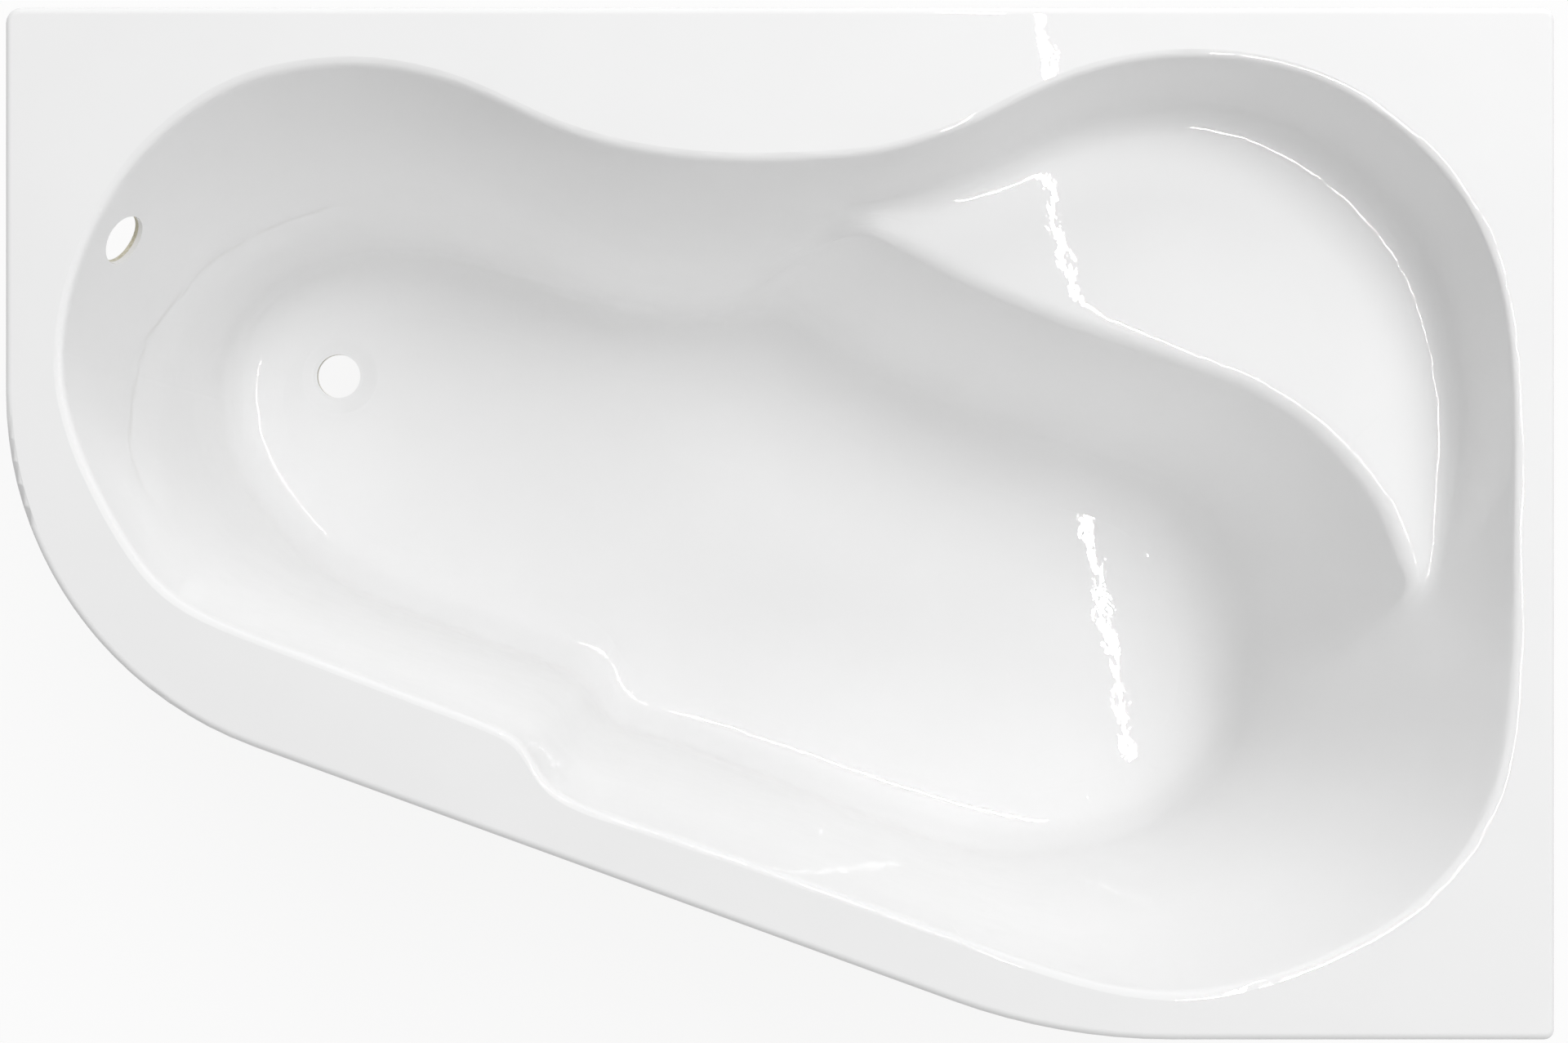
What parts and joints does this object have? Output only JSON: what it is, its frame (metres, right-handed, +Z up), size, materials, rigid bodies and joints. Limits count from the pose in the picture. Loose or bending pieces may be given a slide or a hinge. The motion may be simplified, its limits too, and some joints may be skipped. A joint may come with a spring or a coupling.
{
  "type": "bathtub",
  "caption": "Asymmetric corner bathtub of white acrylic with a flat rim, a crescent shelf, open waste and overflow holes, on a steel frame with screw feet.",
  "frame": {"origin": "centre of the bounding box on the floor under the feet", "axes": "+Z up, +Y towards the wall behind the long straight side, +X along the rim towards the head end with the shelf"},
  "size_m": [1.5, 1, 0.6],
  "materials": {
    "white_acrylic": "high gloss",
    "fibreglass": "rough resin over chopped fibre",
    "chipboard": "raw particle board",
    "timber": "raw plywood",
    "frame_paint": "grey powder coat",
    "zinc_steel": "bright zinc",
    "black_plastic": "moulded"
  },
  "bodies": {
    "tub": {"acrylic_shell": "white_acrylic", "fibreglass_backing": "fibreglass", "base_board": "chipboard", "seat_board": "chipboard", "seat_post": "frame_paint", "rail_front": "frame_paint", "rail_back": "frame_paint", "frame_brace": "frame_paint", "cross_bar_foot_end": "frame_paint", "cross_bar_head_end": "frame_paint", "tube_end_caps": "black_plastic", "board_screws": "zinc_steel", "seat_screws": "zinc_steel", "weld_nuts": "zinc_steel", "lock_nuts": "zinc_steel", "corner_block_back_left": "timber", "corner_block_back_right": "timber", "corner_block_front_right": "timber", "rim_batten_back": "timber", "rim_batten_front": "timber", "wall_bracket_back_left": "zinc_steel", "wall_bracket_back_right": "zinc_steel", "wall_bracket_front_right": "zinc_steel", "bracket_screws": "zinc_steel"},
    "pad_1": {"foot_pad_1": "black_plastic"},
    "stud_1": {"foot_stud_1": "zinc_steel"},
    "pad_2": {"foot_pad_2": "black_plastic"},
    "stud_2": {"foot_stud_2": "zinc_steel"},
    "pad_3": {"foot_pad_3": "black_plastic"},
    "stud_3": {"foot_stud_3": "zinc_steel"},
    "pad_4": {"foot_pad_4": "black_plastic"},
    "stud_4": {"foot_stud_4": "zinc_steel"}
  },
  "joints": [
    {"name": "foot_1_height", "type": "slide", "parent": "tub", "child": "pad_1", "axis": [0, 0, 1], "range_m": [0, 0.0385]},
    {"name": "foot_1_turn", "type": "hinge", "parent": "pad_1", "child": "stud_1", "pos_m": [-0.52638, -0.11465, 0.1], "axis": [0, 0, 1], "range_deg": [0, 7920]},
    {"name": "foot_2_height", "type": "slide", "parent": "tub", "child": "pad_2", "axis": [0, 0, 1], "range_m": [0, 0.0385]},
    {"name": "foot_2_turn", "type": "hinge", "parent": "pad_2", "child": "stud_2", "pos_m": [-0.36131, 0.35153, 0.1], "axis": [0, 0, 1], "range_deg": [0, 7920]},
    {"name": "foot_3_height", "type": "slide", "parent": "tub", "child": "pad_3", "axis": [0, 0, 1], "range_m": [0, 0.0385]},
    {"name": "foot_3_turn", "type": "hinge", "parent": "pad_3", "child": "stud_3", "pos_m": [0.2312, -0.42557, 0.1], "axis": [0, 0, 1], "range_deg": [0, 7920]},
    {"name": "foot_4_height", "type": "slide", "parent": "tub", "child": "pad_4", "axis": [0, 0, 1], "range_m": [0, 0.0385]},
    {"name": "foot_4_turn", "type": "hinge", "parent": "pad_4", "child": "stud_4", "pos_m": [0.50152, 0.33787, 0.1], "axis": [0, 0, 1], "range_deg": [0, 7920]}
  ],
  "couplings": [
    {"joint": "foot_1_turn", "follows": "foot_1_height", "rad_per_m": 3590.4},
    {"joint": "foot_2_turn", "follows": "foot_2_height", "rad_per_m": 3590.4},
    {"joint": "foot_3_turn", "follows": "foot_3_height", "rad_per_m": 3590.4},
    {"joint": "foot_4_turn", "follows": "foot_4_height", "rad_per_m": 3590.4}
  ]
}
